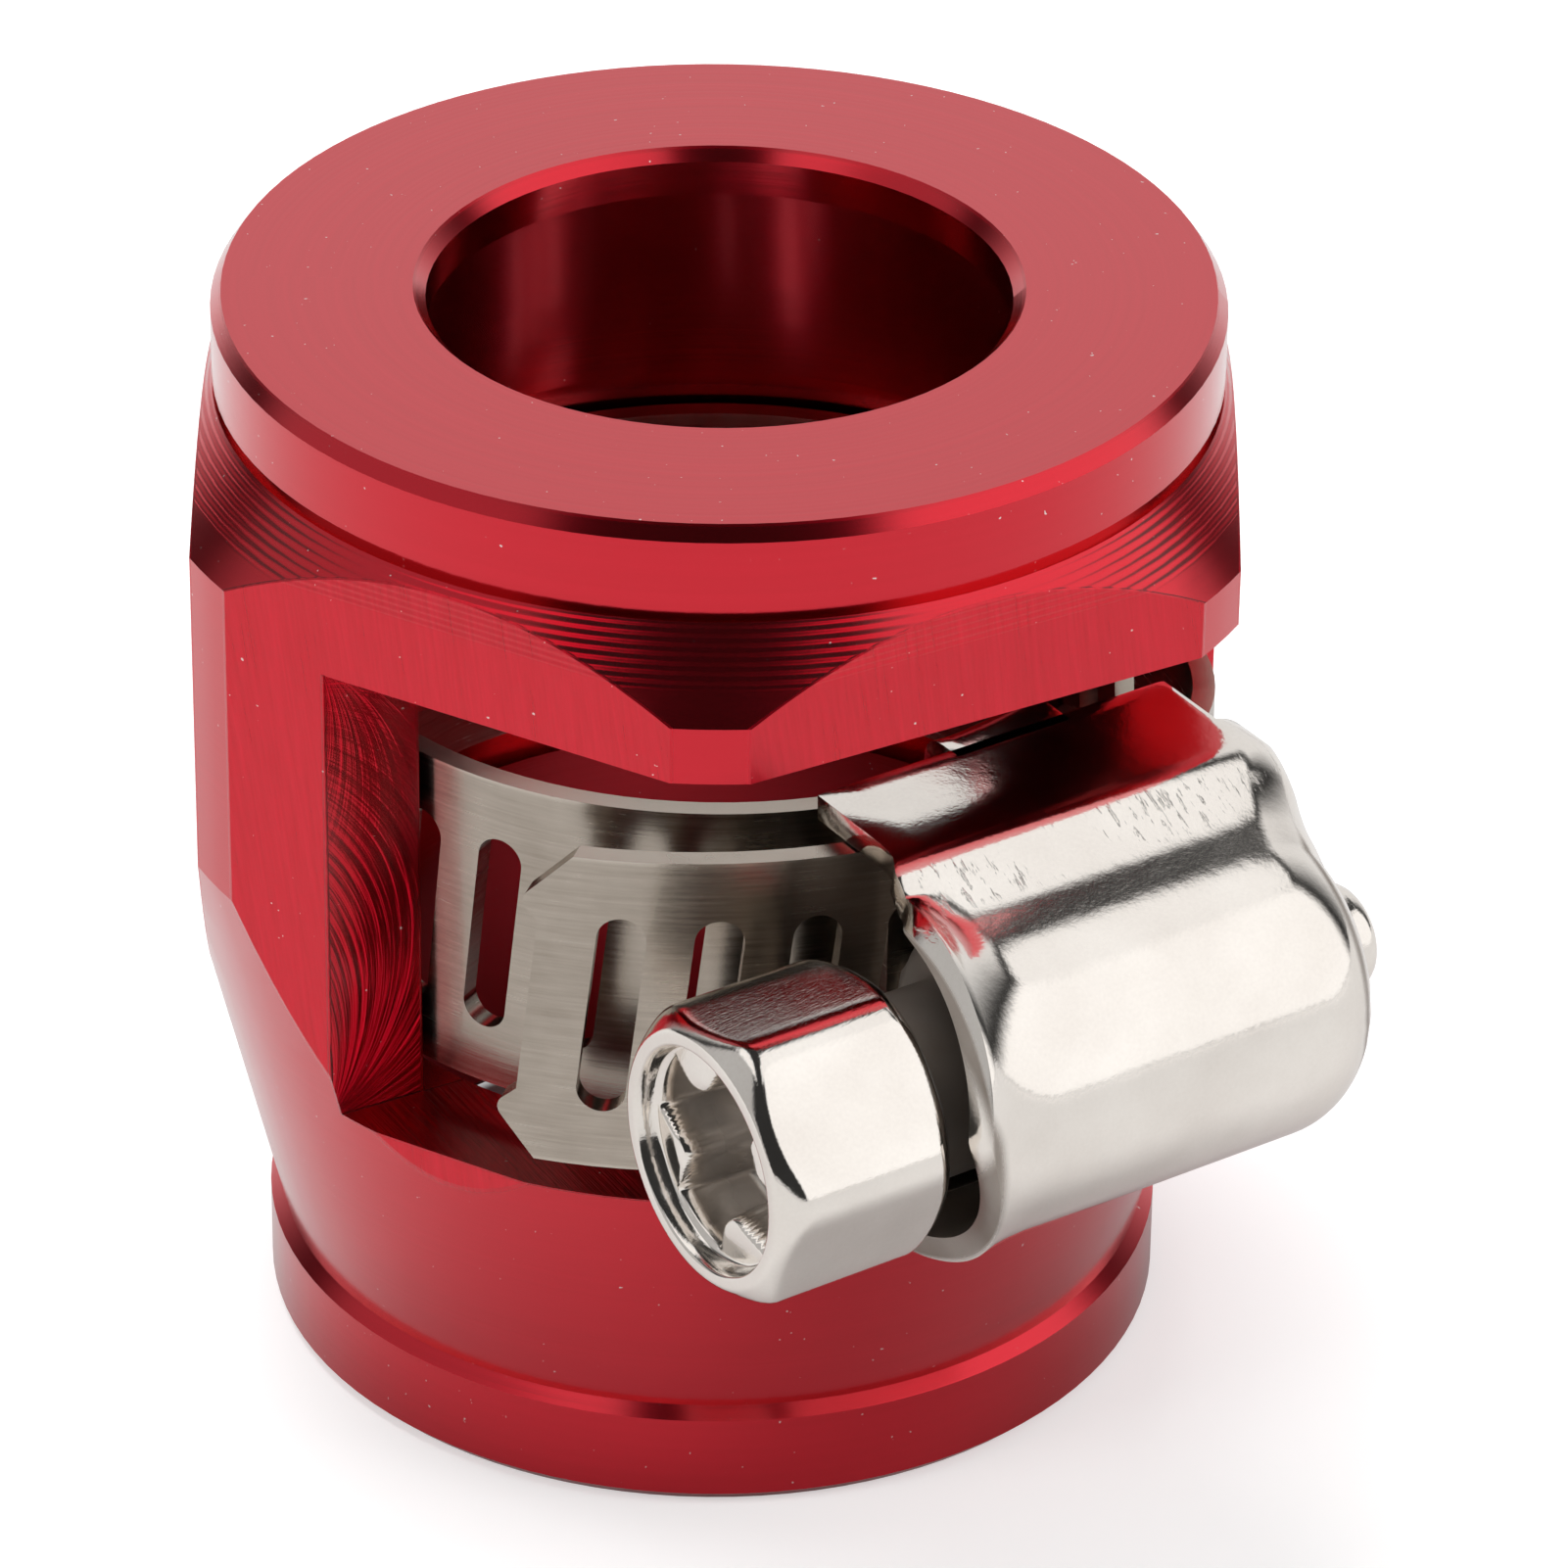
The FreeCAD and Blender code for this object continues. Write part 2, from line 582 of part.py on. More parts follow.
def makeBand():
    # one perforated strip: an attached inner end, a loop round the hose, a bend up over the
    # saddle, a level run under the worm and a free tail with two small ears
    thickness = number("bandThickness")
    level = number(stripBottom + " + bandThickness / 2")
    loop = number(loopOuter + " - bandThickness / 2")
    flat = number("flatLength")
    bend = number("bendRadius")
    curl = number("tailCurl")
    width = number("bandWidth")
    reach = number("tailReach")
    lead = math.atan(number("threadPitch") / (2 * math.pi * number("crestRadius - threadReach / 2")))

    # the bend turns until a straight run from it meets the loop without a kink
    height = level - bend
    lean = math.atan2(flat, height)
    turn = lean + math.acos((loop - bend) / math.hypot(flat, height))
    straight = V(math.cos(turn), math.sin(turn), 0)
    bendFoot = V(flat + bend * math.sin(turn), -height - bend * math.cos(turn), 0)
    loopFoot = V(loop * math.sin(turn), -loop * math.cos(turn), 0)
    run = (loopFoot - bendFoot).Length
    lastAngle = 2 * math.pi + math.radians(number("attachedEndAngle"))

    def station(u):
        # middle of the strip and its outward normal, u along it towards the free tail
        if u >= 0:
            angle = u / curl
            normal = V(-math.sin(angle), -math.cos(angle), 0)
            return V(0, curl - level, 0) + normal * curl, normal
        if u >= -flat:
            return V(-u, -level, 0), V(0, -1, 0)
        angle = (-u - flat) / bend
        if angle <= turn:
            normal = V(math.sin(angle), -math.cos(angle), 0)
            return V(flat, bend - level, 0) + normal * bend, normal
        rest = -u - flat - bend * turn
        if rest <= run:
            return bendFoot + straight * rest, V(math.sin(turn), -math.cos(turn), 0)
        angle = turn + (rest - run) / loop
        normal = V(math.sin(angle), -math.cos(angle), 0)
        return normal * loop, normal

    def side(offset):
        # the five edges of one face of the strip, from the tail's end to the attached end
        marks = [reach + number("earReach + bandThickness * 2"), 0, -flat]
        marks += [-flat - bend * turn, -flat - bend * turn - run]
        marks.append(marks[-1] - loop * (lastAngle - turn))
        spots = [[station(u)[0] + station(u)[1] * offset for u in (a, (a + b) / 2, b)]
                 for a, b in zip(marks, marks[1:])]
        edges = []
        for k, (first, middle, last) in enumerate(spots):
            curve = Part.LineSegment(first, last) if k in (1, 3) else Part.Arc(first, middle, last)
            edges.append(curve.toShape())
        return edges, spots[0][0], spots[-1][2]

    outerEdges, outerTail, outerEnd = side(thickness / 2)
    innerEdges, innerTail, innerEnd = side(-thickness / 2)
    closing = [Part.LineSegment(outerEnd, innerEnd).toShape(),
               Part.LineSegment(innerTail, outerTail).toShape()]
    section = Part.Wire(Part.__sortEdges__(outerEdges + innerEdges + closing))
    strip = Part.Face(section).extrude(V(0, 0, width))
    strip.translate(V(0, 0, -width / 2))

    def punch(u, outlineEdges):
        # a flat outline, x along the strip and y up it, pushed through the strip at u
        middle, normal = station(u)
        depth = thickness * 3
        tool = Part.Face(Part.Wire(outlineEdges)).extrude(V(0, 0, depth))
        tool.translate(V(0, 0, -depth / 2))
        tool.rotate(V(0, 0, 0), V(1, 0, 0), 90)
        tool.rotate(V(0, 0, 0), up, math.degrees(math.atan2(normal.y, normal.x)) + 90)
        tool.translate(middle)
        return tool

    half = number("slotWidth / 2")
    straightHalf = number("slotLength / 2 - slotWidth / 2")
    slotEdges = [
        Part.LineSegment(V(half, -straightHalf, 0), V(half, straightHalf, 0)).toShape(),
        Part.Arc(V(half, straightHalf, 0), V(0, straightHalf + half, 0),
                 V(-half, straightHalf, 0)).toShape(),
        Part.LineSegment(V(-half, straightHalf, 0), V(-half, -straightHalf, 0)).toShape(),
        Part.Arc(V(-half, -straightHalf, 0), V(0, -straightHalf - half, 0),
                 V(half, -straightHalf, 0)).toShape(),
    ]
    for edge in slotEdges:
        edge.rotate(V(0, 0, 0), up, -math.degrees(lead))
    pitch = number("threadPitch")
    phase = number("slotPhase")
    plainFrom = -flat - bend * turn - run
    plainFrom -= loop * (lastAngle - turn - math.radians(number("attachedEndAngle + plainEndAngle")))
    firstSlot = math.floor((reach - number("slotWidth") - phase) / pitch)
    lastSlot = math.ceil((plainFrom - phase) / pitch)
    for k in range(lastSlot, firstSlot + 1):
        strip = strip.cut(punch(phase + k * pitch, slotEdges))

    # the free end is cut parallel to the slots and keeps an ear at each corner
    tip = number("earReach")
    ear = number("earHalfHeight")
    notch = ear - number("earNotch")
    shape = [(tip - number("earCorner"), width / 2), (tip, ear), (0, notch)]
    shape += [(x, -z) for x, z in reversed(shape)]
    corner = shape[0][0]
    far = tip + number("cutMargin")
    outline = [(far, width), (corner, width)] + shape + [(corner, -width), (far, -width)]
    points = [V(-x + z * math.tan(lead), z, 0) for x, z in outline]
    edges = [Part.LineSegment(a, b).toShape() for a, b in zip(points, points[1:] + points[:1])]
    strip = strip.cut(punch(reach, edges))

    band = doc.addObject("Part::Feature", "clamp_band")
    band.Label = "clamp_band"
    band.Shape = strip.Solids[0]
    band.Placement = clampPlacement()
    return band


pieces = {
    "hose_end_socket": makeSocket(),
    "clamp_band": makeBand(),
    "clamp_saddle": makeSaddle(),
    "worm_housing": makeWormHousing(),
    "worm_screw": makeWormScrew(),
}
for name, piece in pieces.items():
    piece.Label = name
doc.recompute()

# nothing is written unless every step has worked and every piece is one sound solid
for item in doc.Objects:
    if "Invalid" in item.State or "Error" in item.State:
        raise RuntimeError(item.Name + " is " + " ".join(item.State))
for name, piece in pieces.items():
    if piece.Shape.isNull() or not piece.Shape.isValid() or len(piece.Shape.Solids) != 1:
        raise RuntimeError(name + " is not one sound solid")

os.makedirs("parts", exist_ok=True)
for name, piece in pieces.items():
    piece.Shape.exportStep("parts/" + name + ".step")
    print(name, round(piece.Shape.Volume, 2), piece.Shape.BoundBox)
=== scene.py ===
import math

import bmesh
import bpy
from mathutils import Matrix, Vector


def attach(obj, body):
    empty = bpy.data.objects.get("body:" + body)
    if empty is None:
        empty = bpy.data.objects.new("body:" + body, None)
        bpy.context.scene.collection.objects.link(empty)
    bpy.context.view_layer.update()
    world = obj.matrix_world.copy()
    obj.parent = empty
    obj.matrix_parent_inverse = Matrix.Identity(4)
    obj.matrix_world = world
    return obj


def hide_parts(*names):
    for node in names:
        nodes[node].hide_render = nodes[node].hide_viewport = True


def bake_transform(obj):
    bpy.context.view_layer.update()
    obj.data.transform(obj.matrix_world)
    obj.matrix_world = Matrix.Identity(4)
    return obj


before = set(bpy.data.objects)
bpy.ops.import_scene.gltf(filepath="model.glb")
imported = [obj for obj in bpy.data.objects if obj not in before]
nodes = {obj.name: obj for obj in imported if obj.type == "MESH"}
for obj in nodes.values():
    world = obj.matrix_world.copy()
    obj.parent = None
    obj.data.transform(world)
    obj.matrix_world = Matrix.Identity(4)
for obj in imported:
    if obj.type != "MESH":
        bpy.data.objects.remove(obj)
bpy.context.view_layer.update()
mm = 0.001
print("frame loaded")


class Field:
    # one output of a node, so that sums on it are written as plain Python

    def __init__(self, finish, socket):
        self.finish = finish
        self.socket = socket

    def op(self, operation, other=None, flipped=False):
        values = {0: self} if other is None else {0: self, 1: other}
        if flipped:
            values = {0: other, 1: self}
        return self.finish.node("ShaderNodeMath", {"operation": operation}, values)

    def __add__(self, other):
        return self.op("ADD", other)

    def __radd__(self, other):
        return self.op("ADD", other, True)

    def __sub__(self, other):
        return self.op("SUBTRACT", other)

    def __rsub__(self, other):
        return self.op("SUBTRACT", other, True)

    def __mul__(self, other):
        return self.op("MULTIPLY", other)

    def __truediv__(self, other):
        return self.op("DIVIDE", other)

    def __neg__(self):
        return self.op("MULTIPLY", -1.0)

    def __abs__(self):
        return self.op("ABSOLUTE")

    def sine(self):
        return self.op("SINE")

    def atMost(self, other):
        return self.op("MINIMUM", other)

    def atLeast(self, other):
        return self.op("MAXIMUM", other)

    def step(self, low, high, toLow=0.0, toHigh=1.0):
        # goes smoothly from toLow to toHigh while the value goes from low to high
        return self.finish.node("ShaderNodeMapRange", {"interpolation_type": "SMOOTHSTEP"}, {
            "Value": self, "From Min": low, "From Max": high, "To Min": toLow, "To Max": toHigh})

    def band(self, low, high, edge):
        # 1 between low and high, with soft edges
        return self.step(low - edge, low + edge) * self.step(high - edge, high + edge, 1.0, 0.0)


class Finish:
    # one material or the world, built node by node

    def __init__(self, owner):
        self.owner = owner
        owner.use_nodes = True
        self.tree = owner.node_tree
        self.tree.nodes.clear()

    def node(self, kind, settings=None, sockets=None, output=0):
        made = self.tree.nodes.new(kind)
        for name, value in (settings or {}).items():
            setattr(made, name, value)
        for name, value in (sockets or {}).items():
            if isinstance(value, Field):
                self.tree.links.new(value.socket, made.inputs[name])
            else:
                made.inputs[name].default_value = value
        return Field(self, made.outputs[output])

    def other(self, field, output):
        return Field(self, field.socket.node.outputs[output])

    def places(self):
        # the piece's own coordinates in millimetres, as one vector and as x, y, z
        coordinates = self.node("ShaderNodeTexCoord", output="Object")
        scaled = self.node("ShaderNodeVectorMath", {"operation": "SCALE"},
                           {0: coordinates, "Scale": 1 / mm})
        x = self.node("ShaderNodeSeparateXYZ", None, {0: scaled})
        return scaled, x, self.other(x, 1), self.other(x, 2)

    def join(self, x, y, z):
        return self.node("ShaderNodeCombineXYZ", None, {0: x, 1: y, 2: z})

    def length(self, vector):
        return self.node("ShaderNodeVectorMath", {"operation": "LENGTH"}, {0: vector}, "Value")

    def noise(self, vector, scale=1.0, detail=2.0, roughness=0.5):
        return self.node("ShaderNodeTexNoise", {"noise_dimensions": "3D"}, {
            "Vector": vector, "Scale": scale, "Detail": detail, "Roughness": roughness})

    def blend(self, share, first, second):
        return self.node("ShaderNodeMix", {"data_type": "RGBA"}, {0: share, 6: first, 7: second}, 2)

    def bump(self, height):
        # height in millimetres
        return self.node("ShaderNodeBump", None, {"Height": height, "Distance": mm, "Strength": 1.0})

    def surface(self, **sockets):
        named = {name.replace("_", " "): value for name, value in sockets.items()}
        shader = self.node("ShaderNodeBsdfPrincipled", None, named)
        out = self.tree.nodes.new("ShaderNodeOutputMaterial")
        self.tree.links.new(shader.socket, out.inputs["Surface"])
        return self.owner


def colour(red, green, blue):
    # a shade as a screen shows it, made linear for the shader
    parts = []
    for value in (red, green, blue):
        share = value / 255
        parts.append(share / 12.92 if share < 0.04045 else ((share + 0.055) / 1.055) ** 2.4)
    return (*parts, 1.0)


# Camera, at the height and turn from which the real part was seen
viewpoint = {
    "distance": 194.47 * mm,
    "elevation": 30.737,
    "azimuth": -0.038,
    "roll": 0.749,
    "aside": 1.574 * mm,
    "height": 12.87 * mm,
    "sensor": 36.0,
    "focal": 8643.6,
    "imageWidth": 1601,
    "nearest": 5 * mm,
    "farthest": 20,
}


def makeCamera():
    data = bpy.data.cameras.new("viewCamera")
    data.sensor_width = viewpoint["sensor"]
    data.lens = viewpoint["focal"] / viewpoint["imageWidth"] * viewpoint["sensor"]
    data.clip_start = viewpoint["nearest"]
    data.clip_end = viewpoint["farthest"]
    camera = bpy.data.objects.new("viewCamera", data)
    bpy.context.scene.collection.objects.link(camera)
    turn = math.radians(viewpoint["azimuth"])
    rise = math.radians(viewpoint["elevation"])
    roll = math.radians(viewpoint["roll"])
    back = Vector((math.sin(turn) * math.cos(rise), -math.cos(turn) * math.cos(rise), math.sin(rise)))
    right = Vector((math.cos(turn), math.sin(turn), 0))
    up = back.cross(right)
    across = right * math.cos(roll) + up * math.sin(roll)
    upward = up * math.cos(roll) - right * math.sin(roll)
    aim = right * viewpoint["aside"] + Vector((0, 0, viewpoint["height"]))
    place = aim + back * viewpoint["distance"]
    turned = Matrix((across, upward, back)).transposed().to_4x4()
    camera.matrix_world = Matrix.Translation(place) @ turned
    bpy.context.scene.camera = camera


makeCamera()
bpy.context.scene.view_settings.view_transform = "Standard"
print("camera placed")


# Studio: a pale floor, a white surround and soft lamps
studio = {
    "floorSize": 3.0,
    "floorShade": 0.58,
    "floorGlow": 0.48,
    "boreShadow": (8.8 * mm, 9.2 * mm),
    "farGlow": 0.25,
    "farReach": (0.05, 0.6),
    "surroundLight": 0.55,
    "darkSide": 0.03,
    "leftLight": 0.46,
    "rightLight": 1.1,
    "backLight": 0.8,
}
# what shiny metal sees: a soft box at each hand, a pale back wall and a roof, over a dark side.
# Turns in degrees from the viewer, heights and sides as parts of the direction's length
surround = {
    "boxTurn": (40, 112),
    "boxBlur": 0.12,
    "boxHeight": (-0.4, 0.86),
    "boxSide": (0.34, 0.46),
    "backTurn": (118, 150),
    "backHeight": (-0.4, 0.72),
    "roofHeight": (0.80, 0.97),
    "roofSide": (0.2, 0.27),
}
# place, size and power of each lamp, all aimed at the middle of the part
lamps = {
    "overheadLamp": ((-0.10, 0.12, 0.50), 0.35, 2.2),
    "leftLamp": ((-0.45, -0.20, 0.25), 0.25, 0.8),
    "rightLamp": ((0.45, -0.10, 0.28), 0.25, 0.8),
}
lampAim = Vector((0, 0, 13 * mm))


def makeFloor():
    mesh = bpy.data.meshes.new("floor")
    shape = bmesh.new()
    bmesh.ops.create_grid(shape, x_segments=1, y_segments=1, size=studio["floorSize"] / 2)
    shape.to_mesh(mesh)
    shape.free()
    floor = bpy.data.objects.new("floor", mesh)
    bpy.context.scene.collection.objects.link(floor)
    paint = Finish(bpy.data.materials.new("floorPaper"))
    ray = paint.node("ShaderNodeLightPath", output="Is Camera Ray")
    seen = ray.atLeast(paint.other(ray, "Is Transmission Ray"))
    glossy = paint.other(ray, "Is Glossy Ray")
    distance = paint.length(paint.node("ShaderNodeTexCoord", output="Object"))
    far = distance.step(*studio["farReach"]) * glossy * studio["farGlow"]
    # the paper under the bore lies in the dark
    glow = (seen * distance.step(*studio["boreShadow"]) * studio["floorGlow"]).atLeast(far)
    shade = studio["floorShade"]
    mesh.materials.append(paint.surface(
        Base_Color=(shade, shade, shade, 1), Roughness=0.9, Specular_IOR_Level=0.0,
        Emission_Color=paint.join(glow, glow, glow), Emission_Strength=1.0))


def makeSurround():
    world = bpy.data.worlds.new("surround")
    bpy.context.scene.world = world
    sky = Finish(world)
    ray = sky.node("ShaderNodeLightPath", output="Is Camera Ray")
    glossy = sky.other(ray, "Is Glossy Ray")
    seen = ray.atLeast(sky.other(ray, "Is Transmission Ray"))
    towards = sky.node("ShaderNodeTexCoord", output="Generated")
    x = sky.node("ShaderNodeSeparateXYZ", None, {0: towards})
    y, z = sky.other(x, 1), sky.other(x, 2)
    aside = abs(x).op("ARCTAN2", -y)
    boxTurn = [math.radians(turn) for turn in surround["boxTurn"]]
    backTurn = [math.radians(turn) for turn in surround["backTurn"]]
    boxes = (aside.band(*boxTurn, surround["boxBlur"]) * z.band(*surround["boxHeight"], 0.04)
             * abs(x).step(*surround["boxSide"]))
    back = aside.step(*backTurn) * z.band(*surround["backHeight"], 0.05)
    roof = z.band(*surround["roofHeight"], 0.03) * abs(x).step(*surround["roofSide"])
    sides = boxes * x.step(-0.1, 0.1, studio["leftLight"], studio["rightLight"])
    room = studio["darkSide"] + sides.atLeast(back * studio["backLight"]).atLeast(roof)
    strength = seen + (1.0 - seen) * (glossy * room + (1.0 - glossy) * studio["surroundLight"])
    light = sky.node("ShaderNodeBackground", None, {"Color": (1, 1, 1, 1), "Strength": strength})
    out = sky.tree.nodes.new("ShaderNodeOutputWorld")
    sky.tree.links.new(light.socket, out.inputs["Surface"])


def makeLamp(name, place, size, power):
    data = bpy.data.lights.new(name, "AREA")
    data.shape = "DISK"
    data.size = size
    data.energy = power
    lamp = bpy.data.objects.new(name, data)
    lamp.visible_glossy = False
    bpy.context.scene.collection.objects.link(lamp)
    lamp.location = place
    lamp.rotation_euler = (Vector(place) - lampAim).to_track_quat("Z", "Y").to_euler()


makeFloor()
makeSurround()
for name, (place, size, power) in lamps.items():
    makeLamp(name, place, size, power)
print("studio lit")


# Red anodised aluminium, turned, then milled
anodising = {
    "light": colour(222, 18, 44),
    "deep": colour(196, 8, 28),
    "bare": colour(236, 206, 204),
    "flatReach": 11.5,
    "boreReach": 9.75,
    "wallDepth": 3.05,
    "wallEnd": 11.6,
    "windowFloor": 9.05,
    "windowTop": 20.45,
    "cutterRadius": 5.7,
    "arcCount": 16.0,
    "arcCrossing": (14.5, 19.0),
    "topLevel": 25.8,
    "facePitch": 0.17,
    "shoulderPitch": 0.156,
    "shoulderLevel": (22.45, 23.5),
    "shoulderReach": (9.6, 9.8),
    # heights of the marks
    "brush": 0.014,
    "faceRing": 0.0022,
    "faceWave": 0.00022,
    "arc": 0.08,
    "floorMark": 0.09,
    "coneRing": 0.0028,
    "grain": 0.0004,
    "shoulderRing": 0.008,
    "gloss": 0.20,
}


def cutterFan(paint, along, level, corner, side):
    # numbers the arcs of one cutter radius that all pass through a corner of the wall
    right = along - corner[0]
    up = (level - corner[1]) * side
    reach = paint.length(paint.join(right, up, 0.0))
    half = (reach / (2 * anodising["cutterRadius"])).atMost(0.999).op("ARCCOSINE")
    return up.op("ARCTAN2", right) + half


def makeAnodisedRed():
    paint = Finish(bpy.data.materials.new("anodisedRed"))
    place, x, y, z = paint.places()
    radius = paint.length(paint.join(x, y, 0.0))
    turn = y.op("ARCTAN2", x)
    leaning = math.sqrt(3) / 2
    depth = x * 0.5 - y * leaning
    along = x * leaning + y * 0.5
    across = abs(x * 0.5 + y * leaning)
    hexagon = abs(x).atLeast(abs(depth)).atLeast(across)
    flat = hexagon.step(anodising["flatReach"] - 0.05, anodising["flatReach"] - 0.02)
    top = z.step(anodising["topLevel"] - 0.08, anodising["topLevel"] - 0.03)
    wall = (abs(depth - anodising["wallDepth"]).step(0.03, 0.06, 1.0, 0.0)
            * radius.step(anodising["boreReach"] - 0.03, anodising["boreReach"])
            * z.band(anodising["windowFloor"], anodising["windowTop"], 0.03))
    floor = abs(z - anodising["windowFloor"]).step(0.02, 0.04, 1.0, 0.0) * depth.step(3.06, 3.1)

    # brushed flats: near upright hair lines of uneven width
    brushPlace = paint.join(turn * 11.5 + z * 0.13, z * 0.045, 0.0)
    brushFine = paint.noise(brushPlace, 9.0, 4.0, 0.62)
    brushWide = paint.noise(brushPlace, 2.6, 2.0, 0.5)
    brush = brushFine * 0.7 + brushWide * 0.3

    # turned faces: rings round the axis
    faceRings = paint.noise(paint.join(radius * 6.2, turn * 0.25, 0.0), 1.0, 2.0, 0.6)
    faceWave = (radius * (2 * math.pi / anodising["facePitch"])).sine()
    coneRings = paint.noise(paint.join(z * 7.0, turn * 0.3, 3.0), 1.0, 3.0, 0.6)

    # milled wall of the window: arcs of the cutter that meet in its lower and upper corners
    mirrored, end, count = -abs(along), -anodising["wallEnd"], anodising["arcCount"]
    lowFan = cutterFan(paint, mirrored, z, (end, anodising["windowFloor"] - 0.1), 1.0)
    highFan = cutterFan(paint, mirrored, z, (end, anodising["windowTop"] + 0.3), -1.0)
    lowArcs = paint.noise(paint.join(lowFan * count, z * 0.12, 0.0), 1.0, 3.0, 0.55)
    highArcs = paint.noise(paint.join(highFan * count, z * 0.12, 5.0), 1.0, 3.0, 0.55)
    crossing = z.step(*anodising["arcCrossing"])
    arcs = lowArcs * (1.0 - crossing * 0.5) + highArcs * crossing * 0.5

    # milled floor of the window: straight marks square to the wall
    floorMarks = paint.noise(paint.join(along * 5.0, depth * 0.16, 9.0), 1.0, 4.0, 0.6)

    grain = paint.noise(place, 14.0, 2.0, 0.6)
    plain = (1.0 - flat) * (1.0 - top) * (1.0 - wall)
    shoulderRings = ((z * (2 * math.pi / anodising["shoulderPitch"])).sine()
                     * z.band(*anodising["shoulderLevel"], 0.04)
                     * radius.step(*anodising["shoulderReach"]))
    height = (flat * brush * anodising["brush"]
              + top * (faceRings * anodising["faceRing"] + faceWave * anodising["faceWave"])
              + wall * arcs * anodising["arc"] + floor * floorMarks * anodising["floorMark"]
              + plain * (1.0 - floor) * coneRings * anodising["coneRing"] + grain * anodising["grain"]
              + shoulderRings * anodising["shoulderRing"])

    streak = (flat * (brush - 0.5) * 2.0 + floor * (floorMarks - 0.5) * 1.4
              + top * (faceRings - 0.5) * 0.5 + plain * (coneRings - 0.5) * 0.5)
    shade = (0.62 + streak + (grain - 0.5) * 0.25).atMost(1.0).atLeast(0.0)
    tint = paint.blend(shade, anodising["deep"], anodising["light"])
    chips = paint.noise(place, 7.0, 1.0, 0.5).step(0.782, 0.81)
    tint = paint.blend(chips, tint, anodising["bare"])
    rough = (anodising["gloss"] + flat * (0.10 + (brush - 0.5) * 0.2) + top * 0.10 + wall * 0.03
             + floor * 0.08)
    return paint.surface(Base_Color=tint, Metallic=1.0, Roughness=rough, Normal=paint.bump(height),
                         Coat_Weight=1.0, Coat_Roughness=0.16, Coat_IOR=1.42)


# Stainless strip, brushed along its length
steel = {
    "light": colour(196, 186, 174),
    "dark": colour(150, 139, 127),
    "middle": 13.75,
    "half": 3.95,
    # width of the painted edge highlight and wear along the strip's long edges
    "edgeWearAndHighlightWidth": 0.12,
    "line": 0.0022,
    "grain": 0.0006,
    "gloss": 0.24,
}


def makeBandSteel():
    paint = Finish(bpy.data.materials.new("bandSteel"))
    place, x, y, z = paint.places()
    lines = paint.noise(paint.join(x * 0.5, y * 0.5, z * 13.0), 1.0, 4.0, 0.6)
    patches = paint.noise(place, 0.55, 3.0, 0.6)
    grain = paint.noise(place, 18.0, 2.0, 0.6)
    # the strip's long edges are painted lighter: a painted edge highlight, with edge wear
    edgeWearAndHighlight = abs(z - steel["middle"]).step(steel["half"] - steel["edgeWearAndHighlightWidth"], steel["half"] - 0.02)
    height = lines * steel["line"] + grain * steel["grain"]
    shade = (0.45 + (lines - 0.5) * 0.9 + (patches - 0.5) * 0.8 + edgeWearAndHighlight * 0.5).atMost(1.0).atLeast(0.0)
    tint = paint.blend(shade, steel["dark"], steel["light"])
    rough = steel["gloss"] + (lines - 0.5) * 0.16 + (patches - 0.5) * 0.12
    return paint.surface(Base_Color=tint, Metallic=1.0, Roughness=rough, Normal=paint.bump(height))


# Frame of the clamp: s along the screw from head to tip, p outwards from the hose, z up
clampTurn = math.radians(34)
alongScrew = Vector((math.cos(clampTurn), math.sin(clampTurn), 0))
outward = Vector((math.sin(clampTurn), -math.cos(clampTurn), 0))
clampCentre = Vector((0, 0, 13.75))
screwLine = 14.19


# Bright nickel plate over pressed and cold-headed steel
nickel = {
    "light": colour(246, 240, 233),
    "grey": colour(214, 205, 197),
    # painted shade: dark tint for the screw's recess and thread and the cover's inside
    "paintedShade": colour(112, 98, 86),
    "grain": 0.0016,
    "scrape": 0.0045,
    "gloss": 0.10,
    "recessLevel": (-8.6, -6.0),
    "threadLevel": (-5.4, 5.0),
    "insideLevel": (-5.0, 5.6),
    "insideReach": (3.35, 3.5),
    "flareLevel": -2.9,
    "scrapeHeight": (3.95, 4.5),
}


